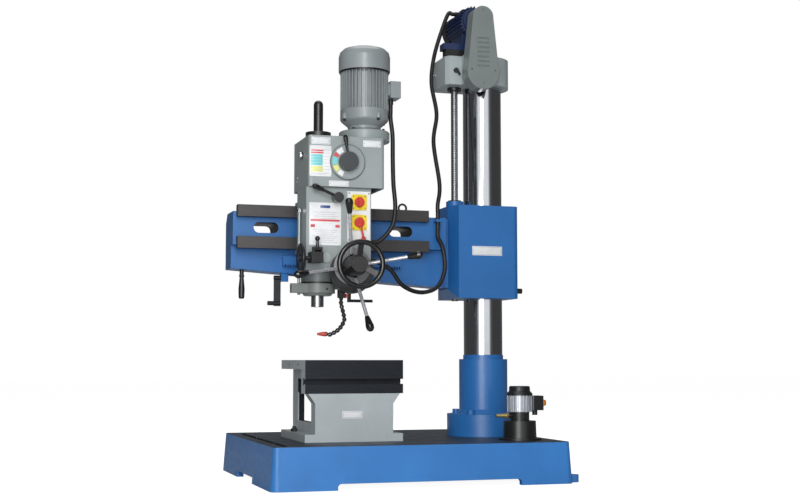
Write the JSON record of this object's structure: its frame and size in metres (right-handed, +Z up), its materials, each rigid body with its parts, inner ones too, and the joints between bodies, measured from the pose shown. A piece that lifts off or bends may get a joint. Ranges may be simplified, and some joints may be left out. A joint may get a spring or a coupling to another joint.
{
  "type": "radial arm drill",
  "caption": "Radial arm drilling machine: arm swings and rises on a round column, drill head slides along it, over a slotted base with box table and coolant pump.",
  "frame": {"origin": "column axis at floor level", "axes": "+Z up along the column, the arm reaches along -X, the operator stands on the -Y side"},
  "size_m": [1.3729, 1.168, 2.071],
  "materials": {
    "blue_paint": "satin enamel",
    "grey_paint": "satin enamel",
    "cover_paint": "satin enamel",
    "navy_paint": "satin enamel",
    "white_paint": "satin enamel",
    "black_paint": "semi matt",
    "machined_iron": "ground",
    "ground_steel": "ground",
    "dark_steel": "blackened",
    "bright_chrome": "polished",
    "cast_aluminium": "extruded",
    "black_plastic": "gloss",
    "red_plastic": "gloss",
    "dial_plate": "satin",
    "cable_rubber": "matt",
    "belt_rubber": "matt"
  },
  "bodies": {
    "stand": {"base_casting": "blue_paint", "column_pedestal": "blue_paint", "stand_bolts": "dark_steel", "column_tube": "ground_steel", "work_table": "grey_paint", "pump_foot": "black_paint", "pump_motor_body": "cast_aluminium", "pump_motor_cap": "black_plastic"},
    "pump_button": {"pump_switch": "red_plastic"},
    "column_head": {"cap_housing": "grey_paint", "lift_motor_body": "navy_paint", "lift_motor_cowl": "black_paint", "belt_cover": "cover_paint", "lift_belt": "belt_rubber", "lift_cable_upper": "cable_rubber"},
    "motor_pulley": {"motor_pulley": "machined_iron"},
    "worm_pulley": {"worm_pulley": "machined_iron"},
    "screw": {"lift_screw": "dark_steel"},
    "arm": {"arm_casting": "blue_paint", "guide_rails": "machined_iron", "traverse_rack": "dark_steel", "lift_nut": "dark_steel", "eye_bolt": "dark_steel", "lift_cable_lower": "cable_rubber"},
    "clamp": {"sleeve_clamp": "dark_steel"},
    "lock_handle": {"arm_lock_handle": "dark_steel"},
    "crank": {"arm_crank": "dark_steel"},
    "head": {"head_casting": "grey_paint", "gearbox_housing": "grey_paint", "motor_adapter": "grey_paint", "main_motor_body": "cover_paint", "main_motor_cowl": "cover_paint", "main_terminal_box": "cover_paint", "spindle_guard": "black_paint", "speed_dial": "dial_plate", "switch_panel": "white_paint", "feed_housing": "black_paint", "clutch_block": "black_paint", "coolant_hose": "black_plastic", "coolant_nozzle": "red_plastic", "main_motor_cable": "cable_rubber"},
    "speed_handle": {"speed_lever": "black_plastic"},
    "range_handle": {"range_lever": "black_plastic"},
    "power_knob": {"power_switch": "red_plastic"},
    "reverse_knob": {"reverse_switch": "red_plastic"},
    "star": {"feed_star": "bright_chrome", "feed_knobs": "black_plastic", "feed_pinion": "dark_steel"},
    "traverse": {"traverse_wheel": "black_plastic", "traverse_shaft": "ground_steel"},
    "clutch_handle": {"clutch_lever": "black_plastic"},
    "fine_wheel": {"fine_feed_wheel": "black_plastic"},
    "quill": {"quill": "ground_steel", "depth_stop": "bright_chrome"},
    "spindle": {"spindle": "ground_steel"},
    "spindle_gear": {"spindle_gear": "dark_steel"},
    "idler": {"idler_gear": "dark_steel"},
    "pinion": {"motor_pinion": "dark_steel"},
    "head_lock": {"head_lock_lever": "bright_chrome"},
    "valve": {"valve_handle": "red_plastic"}
  },
  "joints": [
    {"name": "pump_button_press", "type": "slide", "parent": "stand", "child": "pump_button", "axis": [-1, 0, 0], "range_m": [0, 0.003], "stiffness_N_per_m": 400},
    {"name": "arm_swing", "type": "hinge", "parent": "stand", "child": "column_head", "pos_m": [0, 0, 1.7], "axis": [0, 0, 1], "range_deg": [-180, 180]},
    {"name": "lift_motor_turn", "type": "hinge", "parent": "column_head", "child": "motor_pulley", "pos_m": [-0.064, -0.154, 1.987], "axis": [0, 1, 0], "continuous": true},
    {"name": "worm_turn", "type": "hinge", "parent": "column_head", "child": "worm_pulley", "pos_m": [-0.064, -0.154, 1.74], "axis": [0, 1, 0], "continuous": true},
    {"name": "arm_lift", "type": "slide", "parent": "column_head", "child": "arm", "axis": [0, 0, 1], "range_m": [-0.01, 0.42], "deforming": ["lift_cable_upper"]},
    {"name": "lift_screw_turn", "type": "hinge", "parent": "column_head", "child": "screw", "pos_m": [-0.131, 0, 1.2], "axis": [0, 0, 1], "range_deg": [-370, 15130]},
    {"name": "sleeve_clamp_turn", "type": "hinge", "parent": "arm", "child": "clamp", "pos_m": [0.132, 0.114, 0.809], "axis": [1, 0, 0], "range_deg": [0, 50]},
    {"name": "arm_lock_turn", "type": "hinge", "parent": "arm", "child": "lock_handle", "pos_m": [-1.09, -0.06, 0.85], "axis": [0, 0, 1], "range_deg": [-90, 90]},
    {"name": "arm_crank_turn", "type": "hinge", "parent": "arm", "child": "crank", "pos_m": [-0.94, -0.06, 0.838], "axis": [1, 0, 0], "range_deg": [-70, 70]},
    {"name": "head_traverse", "type": "slide", "parent": "arm", "child": "head", "axis": [1, 0, 0], "range_m": [-0.19, 0.3], "deforming": ["lift_cable_lower"]},
    {"name": "traverse_wheel_turn", "type": "hinge", "parent": "head", "child": "traverse", "pos_m": [-0.73, -0.5, 0.862], "axis": [0, 1, 0], "range_deg": [-710, 450]},
    {"name": "quill_feed", "type": "slide", "parent": "head", "child": "quill", "axis": [0, 0, -1], "range_m": [0, 0.19]},
    {"name": "feed_star_turn", "type": "hinge", "parent": "head", "child": "star", "pos_m": [-0.73, -0.55, 0.862], "axis": [0, -1, 0], "range_deg": [-2, 200]},
    {"name": "spindle_turn", "type": "hinge", "parent": "quill", "child": "spindle", "pos_m": [-0.839, -0.355, 0.9], "axis": [0, 0, 1], "continuous": true},
    {"name": "spindle_gear_turn", "type": "hinge", "parent": "head", "child": "spindle_gear", "pos_m": [-0.839, -0.355, 1.215], "axis": [0, 0, 1], "continuous": true},
    {"name": "idler_turn", "type": "hinge", "parent": "head", "child": "idler", "pos_m": [-0.731, -0.355, 1.215], "axis": [0, 0, 1], "continuous": true},
    {"name": "motor_turn", "type": "hinge", "parent": "head", "child": "pinion", "pos_m": [-0.647, -0.355, 1.215], "axis": [0, 0, 1], "continuous": true},
    {"name": "speed_lever_turn", "type": "hinge", "parent": "head", "child": "speed_handle", "pos_m": [-0.752, -0.5, 1.273], "axis": [0, 1, 0], "range_deg": [-60, 60]},
    {"name": "range_lever_turn", "type": "hinge", "parent": "head", "child": "range_handle", "pos_m": [-0.79, -0.49, 1.131], "axis": [0, 1, 0], "range_deg": [-35, 35]},
    {"name": "power_switch_turn", "type": "hinge", "parent": "head", "child": "power_knob", "pos_m": [-0.701, -0.48, 1.116], "axis": [0, 1, 0], "range_deg": [-60, 60]},
    {"name": "reverse_switch_turn", "type": "hinge", "parent": "head", "child": "reverse_knob", "pos_m": [-0.701, -0.48, 1.036], "axis": [0, 1, 0], "range_deg": [-60, 60]},
    {"name": "clutch_lever_turn", "type": "hinge", "parent": "head", "child": "clutch_handle", "pos_m": [-0.875, -0.5, 0.924], "axis": [1, 0, 0], "range_deg": [-25, 25]},
    {"name": "fine_feed_turn", "type": "hinge", "parent": "head", "child": "fine_wheel", "pos_m": [-0.941, -0.5, 0.889], "axis": [1, 0, 0], "continuous": true},
    {"name": "head_lock_turn", "type": "hinge", "parent": "head", "child": "head_lock", "pos_m": [-0.671, -0.215, 0.76], "axis": [0, 0, 1], "range_deg": [-40, 40]},
    {"name": "valve_turn", "type": "hinge", "parent": "head", "child": "valve", "pos_m": [-0.752, -0.44, 0.748], "axis": [1, 0, 0], "range_deg": [0, 90]}
  ],
  "couplings": [
    {"joint": "worm_turn", "follows": "lift_motor_turn", "ratio": 0.55556},
    {"joint": "lift_screw_turn", "follows": "arm_lift", "rad_per_m": 628.32},
    {"joint": "traverse_wheel_turn", "follows": "head_traverse", "rad_per_m": -40.816},
    {"joint": "feed_star_turn", "follows": "quill_feed", "rad_per_m": 17.857},
    {"joint": "spindle_gear_turn", "follows": "spindle_turn", "ratio": 1},
    {"joint": "idler_turn", "follows": "spindle_turn", "ratio": -0.8},
    {"joint": "motor_turn", "follows": "spindle_turn", "ratio": 2}
  ]
}
